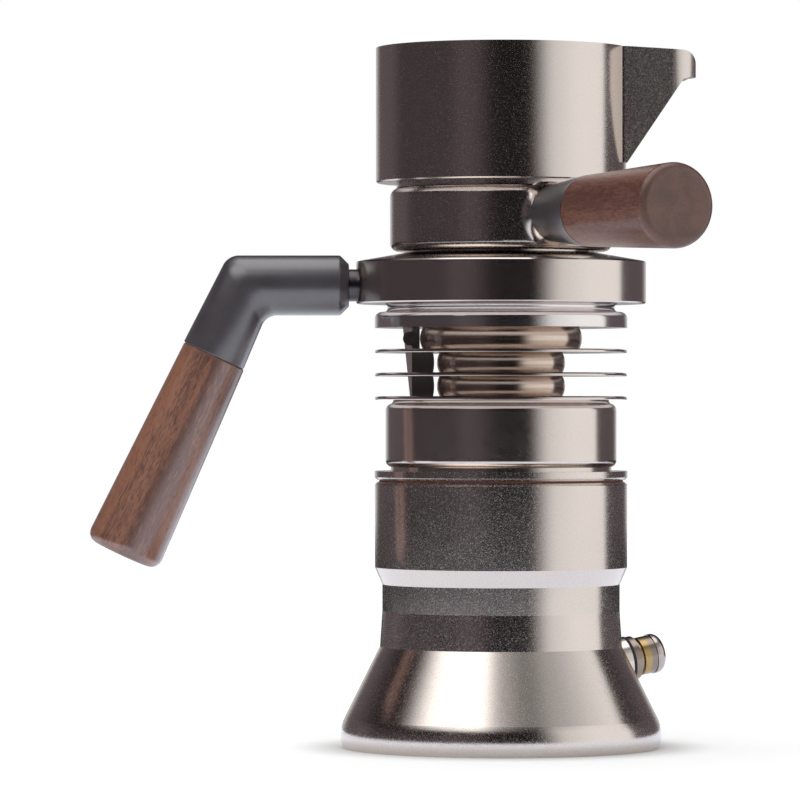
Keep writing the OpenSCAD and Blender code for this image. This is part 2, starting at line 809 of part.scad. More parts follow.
// Elbow: a level arm and a slanted arm that meet in a mitre
module handle_elbow() color(dark_coat) difference() {
    mitre = 90 - (90 - grip_slant) / 2;
    size = 4 * elbow_arm;
    taper = (grip_r0 - elbow_r) / elbow_arm;
    union() {
        intersection() {
            translate([-elbow_start, 0, stud_z])
                rotate([0, -90, 0])
                    rotate_extrude()
                        polygon([
                            [0, 0], [elbow_r - elbow_chamfer, 0], [elbow_r, elbow_chamfer],
                            [elbow_r, elbow_corner - elbow_start + elbow_arm],
                            [0, elbow_corner - elbow_start + elbow_arm]]);
            translate([-elbow_corner, 0, stud_z])
                rotate([0, mitre, 0])
                    translate([-size / 2, -size / 2, 0])
                        cube(size);
        }
        intersection() {
            on_grip_axis()
                translate([0, 0, -elbow_arm / 2])
                    cylinder(r1 = elbow_r - taper * elbow_arm / 2, r2 = grip_r0, h = 1.5 * elbow_arm);
            translate([-elbow_corner, 0, stud_z])
                rotate([0, mitre, 0])
                    translate([-size / 2, -size / 2, -size])
                        cube(size);
        }
    }
    translate([-elbow_start + over, 0, stud_z])
        rotate([0, -90, 0])
            cylinder(r = stud_r + fit, h = stud_out + over);
    on_grip_axis()
        translate([0, 0, elbow_arm - rod_in_elbow])
            cylinder(r = rod_r + fit, h = rod_in_elbow + over);
}

module handle_rod() color(steel) on_grip_axis()
    translate([0, 0, elbow_arm - rod_in_elbow])
        cylinder(r = rod_r, h = rod_in_elbow + rod_in_grip);

module handle_grip() color(walnut) on_grip_axis()
    translate([0, 0, elbow_arm])
        turned_grip(grip_r0, grip_r1, grip_len, grip_round, rod_in_grip);

module group_gasket() color(silicone) rotate_extrude()
    ring_outline(jug_screen_r, rim_r - fit, group_gasket_z, neck_foot_z);

// Pouring lip: upright flanks that meet in a round nose, on a sloping underside
module lip_plan(inset) {
    nose = lip_nose_r - inset;
    nose_x = lip_x - lip_nose_r;
    edge = [nose_x + nose * sin(lip_angle), nose * cos(lip_angle)];
    root = edge + (edge.x - cup_r / 2) * [-1, tan(lip_angle)];
    translate([nose_x, 0])
        circle(nose);
    polygon([edge, root, [root.x, -root.y], [edge.x, -edge.y]]);
}
module lip_profile() {
    droop = [lip_x - lip_droop, rim_z - lip_drop - lip_droop];
    root = [cup_r, cup_z + lip_root_z];
    beak = [lip_x - lip_beak, root.y + (lip_x - lip_beak - root.x) * tan(lip_slope)];
    polygon([
        [cup_r / 2, root.y], root, beak, [lip_x, beak.y], [lip_x, droop.y],
        [droop.x, droop.y + lip_droop], [cup_r, rim_z], [cup_r / 2, rim_z]]);
    translate(droop)
        circle(lip_droop);
}
module lip() intersection() {
    translate([0, 0, cup_z])
        linear_extrude(cup_h)
            lip_plan(0);
    translate([0, cup_r, 0])
        rotate([90, 0, 0])
            linear_extrude(2 * cup_r)
                lip_profile();
}

// Boss on the jug for the ferrule, hollowed where it leaves the wall
module ferrule_boss() on_jug_handle_axis() rotate_extrude() difference() {
    foot = ferrule_r0 + boss_hollow;
    translate([0, jug_inner_r])
        square([foot, ferrule_start - jug_inner_r]);
    translate([foot, boss_z + boss_hollow])
        circle(boss_hollow);
    translate([ferrule_r0, boss_z + boss_hollow])
        square([boss_hollow + over, ferrule_start - boss_z]);
}

// Jug: screwed neck, rounded lower body, groove and cup with a pouring lip
module jug() color(nickel) difference() {
    union() {
        rotate_extrude() {
            ring_outline(0, jug_neck_r, neck_foot_z, jug_z);
            ring_outline(0, jug_low_r, jug_z, jug_groove_z, jug_round, jug_top_round);
            ring_outline(0, jug_low_r - jug_groove, jug_groove_z, cup_z);
            polygon([
                [0, cup_z], [cup_r - cup_edge, cup_z], [cup_r, cup_z + cup_edge], [cup_r, rim_z],
                [0, rim_z]]);
        }
        lip();
        ferrule_boss();
    }
    rotate_extrude()
        polygon([
            [0, jug_floor_z], [jug_inner_r - floor_bevel, jug_floor_z],
            [jug_inner_r, jug_floor_z + floor_bevel], [jug_inner_r, cup_z + cup_floor],
            [cup_r - jug_wall, cup_z + 2 * cup_floor], [cup_r - jug_wall, rim_z + over],
            [0, rim_z + over]]);
    lip_channel();
    translate([0, 0, neck_foot_z - over])
        cylinder(r = jug_screen_r, h = jug_screen_z + screen_t - neck_foot_z + over);
    translate([0, 0, jug_screen_z])
        cylinder(r = funnel_r, h = jug_z - jug_screen_z);
    translate([0, 0, jug_z - over])
        cylinder(r = chimney_r + fit, h = jug_floor + 2 * over);
}

// The hollow of the lip, open at the top
module lip_channel() intersection() {
    rise = jug_wall / cos(lip_slope);
    root_z = cup_z + lip_root_z + rise;
    end_z = root_z + (lip_x - cup_r) * tan(lip_slope);
    translate([0, 0, cup_z])
        linear_extrude(cup_h + over)
            lip_plan(jug_wall);
    translate([0, cup_r, 0])
        rotate([90, 0, 0])
            linear_extrude(2 * cup_r)
                polygon([
                    [cup_r / 2, root_z], [cup_r, root_z], [lip_x, end_z], [lip_x, rim_z + over],
                    [cup_r / 2, rim_z + over]]);
}

module jug_screen() color(steel) difference() {
    translate([0, 0, jug_screen_z])
        cylinder(r = jug_screen_r - fit, h = screen_t);
    sieve_holes(3, 5.5, 0.7, jug_screen_z - over, jug_screen_z + screen_t + over);
}

// Chimney that carries the coffee up into the jug, with two outlets under its domed top
module coffee_chimney() color(nickel) difference() {
    union() {
        translate([0, 0, jug_z])
            cylinder(r = chimney_r, h = jug_floor + chimney_h - chimney_r);
        translate([0, 0, jug_floor_z + chimney_h - chimney_r])
            sphere(chimney_r);
    }
    translate([0, 0, jug_z - over])
        cylinder(r = chimney_r - chimney_wall, h = jug_floor + chimney_h - chimney_r + over);
    translate([0, chimney_r + over, jug_floor_z + chimney_h - chimney_r - 2 * outlet_r])
        rotate([90, 0, 0])
            cylinder(r = outlet_r, h = 2 * (chimney_r + over));
}

// Ferrule: a cone from the jug's boss to the grip
module jug_ferrule() color(steel) on_jug_handle_axis() difference() {
    translate([0, 0, ferrule_start])
        cylinder(r1 = ferrule_r0, r2 = ferrule_r1, h = ferrule_end - ferrule_start);
    translate([0, 0, ferrule_start - over])
        cylinder(r = rod_r + fit, h = ferrule_end);
}

module jug_rod() color(steel) on_jug_handle_axis()
    translate([0, 0, ferrule_start])
        cylinder(r = rod_r, h = ferrule_end - ferrule_start + jug_rod_in);

module jug_grip() color(walnut) on_jug_handle_axis()
    translate([0, 0, ferrule_end])
        turned_grip(
            ferrule_r1, jug_grip_r1, jug_grip_end - ferrule_end, jug_grip_round, jug_rod_in);

base_boiler();
relief_washer();
relief_body();
relief_cap();
relief_poppet();
relief_spring();
boiler_gasket();
boiler_flange();
dip_tube();
pressure_poppet();
pressure_spring();
pressure_cap();
upper_boiler();
heat_exchange_coil();
fin_lower();
fin_middle();
fin_upper();
spool_lower();
spool_upper();
riser_tube();
vent_post();
vent_plug();
group_head();
shower_plate();
filter_basket();
group_collar();
handle_stud();
handle_elbow();
handle_rod();
handle_grip();
group_gasket();
jug();
jug_screen();
coffee_chimney();
jug_ferrule();
jug_rod();
jug_grip();
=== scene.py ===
import bmesh
import bpy
import math
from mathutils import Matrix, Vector


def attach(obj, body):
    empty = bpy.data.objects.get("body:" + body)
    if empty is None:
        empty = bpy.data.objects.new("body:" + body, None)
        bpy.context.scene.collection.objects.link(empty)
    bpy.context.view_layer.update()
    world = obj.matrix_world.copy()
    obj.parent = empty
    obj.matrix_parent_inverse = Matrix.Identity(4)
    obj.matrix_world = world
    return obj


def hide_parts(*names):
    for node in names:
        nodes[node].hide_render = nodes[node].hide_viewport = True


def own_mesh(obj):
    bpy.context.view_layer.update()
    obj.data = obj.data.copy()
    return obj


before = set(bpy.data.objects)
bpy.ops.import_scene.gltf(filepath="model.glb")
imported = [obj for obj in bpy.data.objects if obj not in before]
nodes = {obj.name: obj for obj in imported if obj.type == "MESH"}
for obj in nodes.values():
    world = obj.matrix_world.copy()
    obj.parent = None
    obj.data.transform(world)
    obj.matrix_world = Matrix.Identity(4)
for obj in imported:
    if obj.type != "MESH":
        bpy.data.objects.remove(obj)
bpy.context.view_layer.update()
bpy.ops.object.select_all(action="DESELECT")

# Camera
# A long lens level with the cooling fins, a metre and a half in front of the maker and
# a little to its left, so that the long handle is in the picture.
bpy.ops.object.camera_add(location=(-0.0315, -1.591, 0.1083), rotation=(math.pi / 2, 0, 0))
camera = bpy.context.object
camera.data.sensor_width = 36
camera.data.lens = 229.5
bpy.context.scene.camera = camera
bpy.context.scene.view_settings.view_transform = "Standard"


# Studio
# A dark room with a tall softbox on the right, a lamp over the left shoulder, a white
# ceiling and a dim backdrop. The camera sees plain white, and what is matt is lit by nearly
# as much from all round.
class Shade:
    """A socket in a shader. Python's operators on it add Math nodes."""

    def __init__(self, tree, socket=None):
        self.tree = tree
        self.socket = socket

    def node(self, kind, inputs=None, output=0, **settings):
        """One output of a new node, whose inputs are linked or set."""
        made = self.tree.nodes.new("ShaderNode" + kind)
        for name, value in settings.items():
            setattr(made, name, value)
        for name, value in (inputs or {}).items():
            if isinstance(value, Shade):
                self.tree.links.new(value.socket, made.inputs[name])
            else:
                made.inputs[name].default_value = value
        return Shade(self.tree, made.outputs[output])

    def also(self, output):
        """Another output of the same node."""
        return Shade(self.tree, self.socket.node.outputs[output])

    def math(self, operation, first, second=0.0):
        return self.node("Math", {0: first, 1: second}, operation=operation)

    def rise(self, low, high):
        """0 below low, 1 above high, with a soft step between them."""
        return self.node(
            "MapRange", {"Value": self, "From Min": low, "From Max": high},
            interpolation_type="SMOOTHSTEP")

    def colour(self, low, high):
        """The first colour where this is 0, the second where it is 1."""
        low, high = [(*end, 1) if isinstance(end, tuple) else end for end in (low, high)]
        return self.node("Mix", {0: self, 6: low, 7: high}, output=2, data_type="RGBA")

    def __add__(self, other):
        return self.math("ADD", self, other)

    def __sub__(self, other):
        return self.math("SUBTRACT", self, other)

    def __rsub__(self, other):
        return self.math("SUBTRACT", other, self)

    def __mul__(self, other):
        return self.math("MULTIPLY", self, other)

    __radd__ = __add__
    __rmul__ = __mul__


world = bpy.data.worlds.new("studio")
bpy.context.scene.world = world
world.use_nodes = True
world.cycles.sampling_method = "NONE"
room = Shade(world.node_tree)
# Both angles are in radians. The turn is 0 towards the camera and grows to the right, and
# the height is 0 at the horizon.
x = room.node("SeparateXYZ", {0: room.node("TexCoord", output="Generated")}, output="X")
turn = room.math("ARCTAN2", x, x.also("Y") * -1)
height = room.math("ARCSINE", x.also("Z"))
behind = room.math("ABSOLUTE", turn)
softbox = ((0.76 * turn.rise(0.42, 0.86) + 0.28 * turn.rise(0.6, 1.4))
           * (1 - turn.rise(1.86, 1.94)) * (1 - height.rise(0.5, 0.98)))
lamp_edge = 0.85 * turn.rise(-0.45, 0) + 0.15 * turn.rise(-0.1, 0.4)
shoulder_lamp = (turn.rise(-1.75, -1.1) * (1 - lamp_edge)
                 * height.rise(0.5, 0.75) * (1 - height.rise(1.0, 1.15)))
ceiling = 0.28 * height.rise(0.65, 0.9) + 1.5 * height.rise(1.0, 1.2)
window = turn.rise(-0.9, -0.6) * (1 - turn.rise(-0.45, -0.1))
near_floor = 1 - height.rise(0.2, 0.5)
left_wall = ((1 - turn.rise(-0.9, 0.1)) * (0.1 + 0.9 * near_floor)
             + 1.2 * (1 - turn.rise(-2.15, -1.8)) * near_floor)
right_wall = turn.rise(1.7, 2.0) * (0.05 + 0.95 * near_floor)
backdrop = behind.rise(2.6, 2.95) * (1 - height.rise(0.02, 0.2))
lamps = softbox + 1.8 * shoulder_lamp + ceiling + 0.6 * backdrop
path = room.node("LightPath", output="Is Camera Ray")
mirrored = path.also("Is Glossy Ray") + path.also("Is Transmission Ray")
seen_in_metal = 0.014 + 0.045 * left_wall + 0.04 * window + 0.09 * right_wall + lamps
plum_dusk = lamps.rise(0, 0.2).colour((1.1, 0.9, 1.0), (1, 1, 1))
seen_in_wood = 1.1 - 0.6 * turn.rise(0.1, 1.2) * (1 - turn.rise(2.0, 3.0))
level = mirrored * seen_in_metal + (1 - mirrored - path) * seen_in_wood + path
tint = mirrored.colour((1, 1, 1), plum_dusk)
background = room.node("Background", {"Strength": level, "Color": tint})
world.node_tree.links.new(
    background.socket, world.node_tree.nodes["World Output"].inputs["Surface"])

bpy.ops.mesh.primitive_circle_add(vertices=128, radius=2.4, fill_type="NGON")
table = bpy.context.object
table.name = "table"
paper = bpy.data.materials.new("white_paper")
paper.use_nodes = True
paper.cycles.emission_sampling = "NONE"
paper.node_tree.nodes.remove(paper.node_tree.nodes["Principled BSDF"])
sheet = Shade(paper.node_tree)
x = sheet.node("SeparateXYZ", {0: sheet.node("TexCoord", output="Object")}, output="X")
y = x.also("Y")
distance = sheet.math("SQRT", x * x + y * y)
turn = sheet.math("ARCTAN2", x, y * -1)
# Far off, the paper shows in the metal only as a dim glow that is brighter towards the softbox.
# This is a painted pool of the softbox's light on the floor.
painted_softbox_pool = turn.rise(0.42, 0.90) * (1 - turn.rise(1.86, 1.94))
ray = sheet.node("LightPath", output="Is Camera Ray")
glossy = ray.also("Is Glossy Ray")
# The paper's glow fades to nothing close round the foot. This is a painted contact shadow, seen by
# the camera and in the metal.
outside_painted_foot_shadow = distance.rise(0.046, 0.07)
far_in_metal = distance.rise(0.25, 0.7) * glossy
lit = sheet.node("AddShader", {
    0: sheet.node("BsdfDiffuse", {"Color": (0.8, 0.8, 0.8, 1)}),
    1: sheet.node("Emission", {
        "Color": glossy.colour((1, 1, 1), (0.66, 0.76, 1)),
        "Strength": outside_painted_foot_shadow * (0.35 * ray + 0.5 * glossy)})})
painted_far_glow = sheet.node("Emission", {"Strength": 0.03 + 0.95 * painted_softbox_pool})
top = sheet.node("MixShader", {0: far_in_metal, 1: lit, 2: painted_far_glow})
paper.node_tree.links.new(top.socket, paper.node_tree.nodes["Material Output"].inputs["Surface"])
table.data.materials.append(paper)


# Boiler
# The bell at the bottom: one piece of turned brass, blasted with fine beads and plated
# with nickel. It holds the water, and the rest of the maker screws into its mouth.
def finish(name):
    """A new material: itself, a start for its maths, and its shader."""
    made = bpy.data.materials.new(name)
    made.use_nodes = True
    return made, Shade(made.node_tree), made.node_tree.nodes["Principled BSDF"]


def plug_in(shader, **sockets):
    """Links what varies, and sets what doesn't, on a shader's sockets."""
    for name, value in sockets.items():
        socket = shader.inputs[name.replace("_", " ")]
        if isinstance(value, Shade):
            shader.id_data.links.new(value.socket, socket)
        else:
            socket.default_value = value


def cover(material, *names):
    """Gives solids of the frame their material."""
    for name in names:
        nodes[name].data.materials.clear()
        nodes[name].data.materials.append(material)


warm_nickel = (0.58, 0.48, 0.40), (0.70, 0.59, 0.50)


def blasted_nickel(name, grain, thread=None, dull=(0.66, 0.595, 0.55),
                   bright=(0.74, 0.665, 0.615), coarse_r=None, warm_below=None):
    """Bead-blasted nickel plate, rougher beyond coarse_r and warmer under warm_below.
    A thread has two heights that it runs between, a radius that it is inside, and a lead."""
    material, start, shader = finish(name)
    place = start.node("TexCoord", output="Object")
    x = start.node("SeparateXYZ", {0: place}, output="X")
    y, z = x.also("Y"), x.also("Z")
    radius = start.math("SQRT", x * x + y * y)
    beads = start.node("TexVoronoi", {"Vector": place, "Scale": 5000}, output="Distance")
    facet = start.node("SeparateColor", {0: beads.also("Color")}, output="Red")
    clouds = start.node("TexNoise", {"Vector": place, "Scale": 60, "Detail": 3})
    relief = 4 * grain * beads * beads
    if thread:
        low, high, thread_r, lead = thread
        screwed = (z.rise(low, low + 0.0003) * (1 - z.rise(high - 0.0003, high))
                   * (1 - radius.rise(thread_r, thread_r + 0.0002)))
        turns = z * (1 / lead) - start.math("ARCTAN2", y, x) * (0.5 / math.pi)
        ridge = start.math("PINGPONG", turns + 100, 0.5)
        relief = relief + 16000 * lead * ridge * screwed
    dents = start.node("Bump", {"Height": relief, "Strength": 1.0, "Distance": 0.000012})
    mottle = 0.6 * facet + 0.4 * clouds
    colour = mottle.colour(dull, bright)
    if warm_below:
        warm = mottle.colour(*warm_nickel)
        colour = z.rise(warm_below - 0.0002, warm_below).colour(warm, colour)
    sparkle = facet.rise(0.5, 1.0) + 0.6 * facet.rise(0.9, 0.98)
    rough = 0.12 + 0.04 * clouds + grain * sparkle
    if coarse_r:
        rough = rough + 0.12 * radius.rise(coarse_r, coarse_r + 0.0008)
    plug_in(shader, Base_Color=colour, Metallic=1.0, Roughness=rough, Normal=dents)
    return material


cover(blasted_nickel("satin_nickel", 0.11, thread=(0.066, 0.0815, 0.0365, 0.002)), "base_boiler")


# Relief valve
# A brass valve screwed into a boss on the bell, sealed with a fibre washer. Its plated end
# cap holds a spring on a poppet, which lets steam out when the pressure is too high.
def turned_metal(name, dark, light, rough, ring_scale=5000, axis=(0, 0, 0), foot=(0, 0, 0),
                 painted_band=None):
    """Metal from the lathe: fine grooves round an axis that stands in a place.
    A painted band has two heights on the axis, and a painted highlight colour between them."""
    material, start, shader = finish(name)
    place = start.node(
        "Mapping", {0: start.node("TexCoord", output="Object"), "Location": foot, "Rotation": axis},
        vector_type="TEXTURE")
    x = start.node("SeparateXYZ", {0: place}, output="X")
    y, z = x.also("Y"), x.also("Z")
    radius = start.math("SQRT", x * x + y * y)
    across = start.node("CombineXYZ", {0: radius, 1: z})
    grooves = start.node("TexNoise", {"Vector": across, "Scale": ring_scale, "Detail": 2})
    handled = start.node("TexNoise", {"Vector": place, "Scale": 90, "Detail": 4})
    cut = start.node("Bump", {"Height": grooves, "Strength": 0.5, "Distance": 0.000008})
    colour = (0.7 * grooves + 0.3 * handled).rise(0.3, 0.7).colour(dark, light)
    # A painted highlight: a golden band along the axis, painted in place of the softbox's
    # reflection.
    if painted_band:
        low, high, highlight_colour = painted_band
        painted_highlight = z.rise(low, low + 0.0008) * (1 - z.rise(high - 0.0008, high))
        colour = painted_highlight.colour(colour, highlight_colour)
    plug_in(shader, Base_Color=colour, Metallic=1.0, Roughness=rough * (0.7 + 0.6 * handled),
            Normal=cut)
    return material


relief_turn = (0, math.radians(80), math.radians(24))
relief_foot = (0.0370, 0.0165, 0.026)
# The golden band round the middle of the valve's body is a painted highlight: the softbox's
# reflection, painted into its colour.
cover(turned_metal("bare_brass", (0.26, 0.21, 0.18), (0.36, 0.30, 0.26), 0.25,
                   axis=relief_turn, foot=relief_foot,
                   painted_band=(0.0062, 0.0098, (0.46, 0.32, 0.15))), "relief_body", "relief_poppet")
cover(turned_metal("valve_nickel", (0.44, 0.38, 0.36), (0.56, 0.50, 0.47), 0.2,
                   axis=relief_turn, foot=relief_foot), "relief_cap")


def wound_wire(name, coil_r, wire_r, low, high, turns):
    """Round wire, wound round the Z axis between two heights: a spring, or, where it is
    sunk in a wall, the ridge of a screw."""
    bpy.ops.mesh.primitive_circle_add(
        vertices=12, radius=wire_r, location=(coil_r, 0, low), rotation=(math.pi / 2, 0, 0))
    wire = bpy.context.object
    wire.name = name
    bpy.ops.object.transform_apply()
    wound = wire.modifiers.new("wound", "SCREW")
    wound.angle = turns * 2 * math.pi
    wound.screw_offset = high - low
    wound.steps = wound.render_steps = 40 * turns
    bpy.ops.object.modifier_apply(modifier=wound.name)
    bpy.ops.object.mode_set(mode="EDIT")
    bpy.ops.mesh.select_all(action="SELECT")
    bpy.ops.mesh.remove_doubles(threshold=1e-6)
    bpy.ops.mesh.fill_holes(sides=0)
    bpy.ops.mesh.select_all(action="SELECT")
    bpy.ops.mesh.normals_make_consistent(inside=False)
    bpy.ops.object.mode_set(mode="OBJECT")
    bpy.ops.object.shade_smooth_by_angle(angle=math.radians(60))
    return wire


steel = turned_metal("drawn_steel", (0.50, 0.50, 0.51), (0.62, 0.62, 0.63), 0.25)
# The way out of the bell, along the valve's axis
outlet = Vector((0.899667, 0.400557, 0.173648))
relief_seat = Vector(relief_foot) + 0.0024 * outlet
relief_spring = wound_wire(
    "relief_wire", coil_r=0.0027, wire_r=0.00045, low=0.0045, high=0.0107, turns=6)
relief_spring.rotation_euler = relief_turn
relief_spring.location = relief_seat
bpy.ops.object.transform_apply()
relief_spring.data.materials.append(steel)
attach(relief_spring, "base")
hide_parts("relief_spring")
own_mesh(relief_spring)

fibre, start, shader = finish("fibre_washer")
flecks = start.node("TexNoise", {
    "Vector": start.node("TexCoord", output="Object"), "Scale": 2500, "Detail": 3})
plug_in(shader, Base_Color=flecks.rise(0.35, 0.65).colour((0.012, 0.01, 0.01), (0.05, 0.042, 0.04)),
        Roughness=0.8, Normal=start.node("Bump", {"Height": flecks, "Distance": 0.00005}))
cover(fibre, "relief_washer")

# Boiler gasket
# A thin flat ring of red-brown silicone, which lies in the joint between the boiler's rim
# and the flange. Only its dark edge shows.
silicone, start, shader = finish("silicone")
dust = start.node("TexNoise", {
    "Vector": start.node("TexCoord", output="Object"), "Scale": 700, "Detail": 4})
plug_in(shader, Base_Color=dust.rise(0.35, 0.7).colour((0.10, 0.026, 0.017), (0.16, 0.05, 0.035)),
        Roughness=0.45 + 0.2 * dust,
        Normal=start.node("Bump", {"Height": dust, "Strength": 0.3, "Distance": 0.00005}))
cover(silicone, "boiler_gasket", "group_gasket")

# Flange and drum
# The flange screws into the boiler's mouth and closes the drum above it, in which a small
# spring valve holds the water back. Both are blasted and plated like the bell, and the
# ridge of the screw runs round the flange's spigot.
flange_nickel = blasted_nickel("flange_nickel", 0.1)
cover(flange_nickel, "boiler_flange")
flange_thread = wound_wire(
    "flange_thread", coil_r=0.03315, wire_r=0.0006, low=0.0706, high=0.0806, turns=5)
flange_thread.data.materials.append(flange_nickel)
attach(flange_thread, "upper")
drum_nickel = blasted_nickel("drum_nickel", 0.07)
cover(drum_nickel, "upper_boiler")


def select(piece, kind, wanted):
    """Selects the edges or faces of a piece, in edit mode, for which wanted is true."""
    bpy.ops.mesh.select_all(action="DESELECT")
    mesh = bmesh.from_edit_mesh(piece.data)
    for part in getattr(mesh, kind):
        if wanted(part):
            part.select_set(True)
    mesh.select_flush_mode()
    bmesh.update_edit_mesh(piece.data)


def turned_ring(name, profile):
    """A closed ring: radii and heights, in mm, run round the maker's axis."""
    points = [(r / 1000, z / 1000) for r, z in profile]
    bpy.ops.mesh.primitive_circle_add(vertices=192, radius=points[0][0])
    ring = bpy.context.object
    ring.name = name
    bpy.ops.object.mode_set(mode="EDIT")
    bpy.ops.transform.translate(value=(0, 0, points[0][1]))
    for (r0, z0), (r1, z1) in zip(points, points[1:]):
        bpy.ops.mesh.extrude_region_move(TRANSFORM_OT_translate={"value": (0, 0, z1 - z0)})
        bpy.ops.transform.resize(value=(r1 / r0, r1 / r0, 1), center_override=(0, 0, 0))
    select(ring, "edges", lambda edge: edge.is_boundary)
    bpy.ops.mesh.bridge_edge_loops()
    bpy.ops.mesh.select_all(action="SELECT")
    bpy.ops.mesh.normals_make_consistent(inside=False)
    bpy.ops.object.mode_set(mode="OBJECT")
    bpy.ops.object.shade_smooth_by_angle(angle=math.radians(40))
    return ring


edge_r, edge_z, hollow_r, hollow_z = 33.62, 107.02, 1.05, 1.33
bends = [math.radians(90 * step / 12) for step in range(13)]
drum_fillet = turned_ring("drum_fillet", [(33.3, 108.35), (33.3, 106.8), (34.5, 106.8)] + [
    (edge_r + hollow_r * (1 - math.sin(bend)), edge_z + hollow_z * (1 - math.cos(bend)))
    for bend in bends])
drum_fillet.data.materials.append(drum_nickel)
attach(drum_fillet, "upper")
cover(turned_metal("pressure_brass", (0.50, 0.33, 0.15), (0.66, 0.47, 0.24), 0.28),
      "pressure_poppet", "pressure_cap")
pressure_spring = wound_wire(
    "pressure_wire", coil_r=0.0032, wire_r=0.0005, low=0.08975, high=0.09385, turns=3)
pressure_spring.data.materials.append(steel)
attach(pressure_spring, "upper")
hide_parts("pressure_spring")
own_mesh(pressure_spring)
cover(steel, "dip_tube", "heat_exchange_coil", "riser_tube",
      "handle_rod", "jug_rod", "jug_screen", "shower_plate", "filter_basket")

# Cooling fins
# Three thin discs threaded on the riser tube with two barrel-shaped spools between them,
# all turned and plated, with a flat-faced vent post at the left.
bright_nickel = turned_metal("bright_nickel", (0.62, 0.555, 0.515), (0.72, 0.645, 0.60), 0.16)
cover(bright_nickel, "vent_post", "vent_plug")
bore_r, rim_r, fin_t = 6.1, 39.3, 1.1
for name, z in (("fin_lower", 108.4), ("fin_middle", 115.7), ("fin_upper", 123.0)):
    fin = turned_ring("turned_" + name, [
        (bore_r, z), (rim_r - 0.2, z), (rim_r, z + 0.2), (rim_r, z + 0.7),
        (rim_r - 0.2, z + 0.85), (rim_r - 1.5, z + fin_t), (bore_r, z + fin_t)])
    fin.data.materials.append(bright_nickel)
    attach(fin, "upper")
    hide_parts(name)
cover(turned_metal("spool_nickel", *warm_nickel, 0.16), "spool_lower", "spool_upper")

# Group head and collar
# The head carries the coffee basket in a well. The thick collar on top of it has the screw
# for the jug inside, and the stud of the long handle in its side.
barrel_top, stud_z = 0.1309, 0.14405
cover(blasted_nickel("head_nickel", 0.05, dull=(0.74, 0.69, 0.68), bright=(0.84, 0.79, 0.78),
                     warm_below=barrel_top), "group_head")
collar_nickel = blasted_nickel("collar_nickel", 0.06, thread=(0.1425, 0.1517, 0.0288, 0.003))
cover(collar_nickel, "group_collar")
crown = turned_ring("collar_crown", [
    (44.6, 151.3), (44.6, 151.5), (44.3, 151.62), (36.5, 153.0), (30.2, 154.12),
    (29.6, 154.15), (29.3, 153.9), (29.3, 152.5)])
crown.data.materials.append(collar_nickel)
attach(crown, "upper")
cover(turned_metal("dark_steel", (0.07, 0.065, 0.07), (0.12, 0.11, 0.115), 0.3,
                   axis=(0, math.pi / 2, 0), foot=(0, 0, stud_z)), "handle_stud")

# Elbow
# A short cast arm that turns the long handle down. One end is screwed on the stud, and the
# other carries the rod of the grip. It has a satin dark grey coat.
elbow_r, seam_r, elbow_arm = 0.00935, 0.01025, 0.0242
bend_round, end_chamfer = 0.0031, 0.0028
blank, reach = 0.06, 0.04
stud_wall, stud_hole = 0.0014, 0.011
rod_wall, rod_hole = 0.0072, 0.008
socket = Vector((-0.0474, 0, stud_z))
corner = Vector((-0.0792, 0, stud_z))
level_way = Vector((-1, 0, 0))
slant = math.radians(25)
down = Vector((-math.sin(slant), 0, -math.cos(slant)))
mitre = (level_way + down).normalized()
bpy.ops.mesh.primitive_cylinder_add(
    vertices=96, radius=elbow_r, depth=blank, location=socket + blank / 2 * level_way,
    rotation=(0, math.pi / 2, 0))
elbow = bpy.context.object
elbow.name = "elbow"
bpy.ops.object.transform_apply()
bpy.ops.object.mode_set(mode="EDIT")
bpy.ops.mesh.bisect(plane_co=corner, plane_no=mitre, use_fill=True, clear_outer=True)
bpy.ops.mesh.extrude_region_move(TRANSFORM_OT_translate={"value": reach * down})
end_scale = 1 + (seam_r / elbow_r - 1) * reach / elbow_arm
bpy.ops.transform.resize(value=(end_scale,) * 3, center_override=corner + reach * down)
bpy.ops.mesh.select_all(action="SELECT")
bpy.ops.mesh.bisect(
    plane_co=corner + elbow_arm * down, plane_no=down, use_fill=True, clear_outer=True)
select(elbow, "edges", lambda edge: all(
    abs((vert.co - corner).dot(mitre)) < 1e-5 for vert in edge.verts))
bpy.ops.mesh.bevel(offset=bend_round, segments=8, affect="EDGES")
select(elbow, "edges", lambda edge: all(vert.co.x > socket.x - 1e-5 for vert in edge.verts))
bpy.ops.mesh.bevel(offset=end_chamfer, segments=1, affect="EDGES")
select(elbow, "faces", lambda face: face.normal.x > 0.99)
bpy.ops.mesh.inset(thickness=stud_wall)
bpy.ops.mesh.extrude_region_move(TRANSFORM_OT_translate={"value": stud_hole * level_way})
select(elbow, "faces", lambda face: face.normal.dot(down) > 0.99)
bpy.ops.mesh.inset(thickness=rod_wall)
bpy.ops.mesh.extrude_region_move(TRANSFORM_OT_translate={"value": -rod_hole * down})
bpy.ops.object.mode_set(mode="OBJECT")
softened = elbow.modifiers.new("softened", "BEVEL")
softened.width = 0.0004
softened.segments = 3
softened.angle_limit = math.radians(30)
bpy.ops.object.modifier_apply(modifier=softened.name)
bpy.ops.object.shade_smooth_by_angle(angle=math.radians(35))
dark_coat, start, shader = finish("dark_coat")
place = start.node("TexCoord", output="Object")
powder = start.node("TexNoise", {"Vector": place, "Scale": 3200, "Detail": 2})
rubbed = start.node("TexNoise", {"Vector": place, "Scale": 140, "Detail": 4})
plug_in(shader, Base_Color=(0.5 * powder + 0.5 * rubbed).rise(0.35, 0.65).colour(
            (0.046, 0.039, 0.047), (0.064, 0.055, 0.065)),
        Roughness=0.3 + 0.1 * rubbed, Specular_IOR_Level=1.0, Coat_Weight=1.0, Coat_IOR=1.6,
        Coat_Roughness=0.26,
        Normal=start.node("Bump", {"Height": powder, "Strength": 0.4, "Distance": 0.00002}))
elbow.data.materials.append(dark_coat)
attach(elbow, "upper")
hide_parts("handle_elbow")


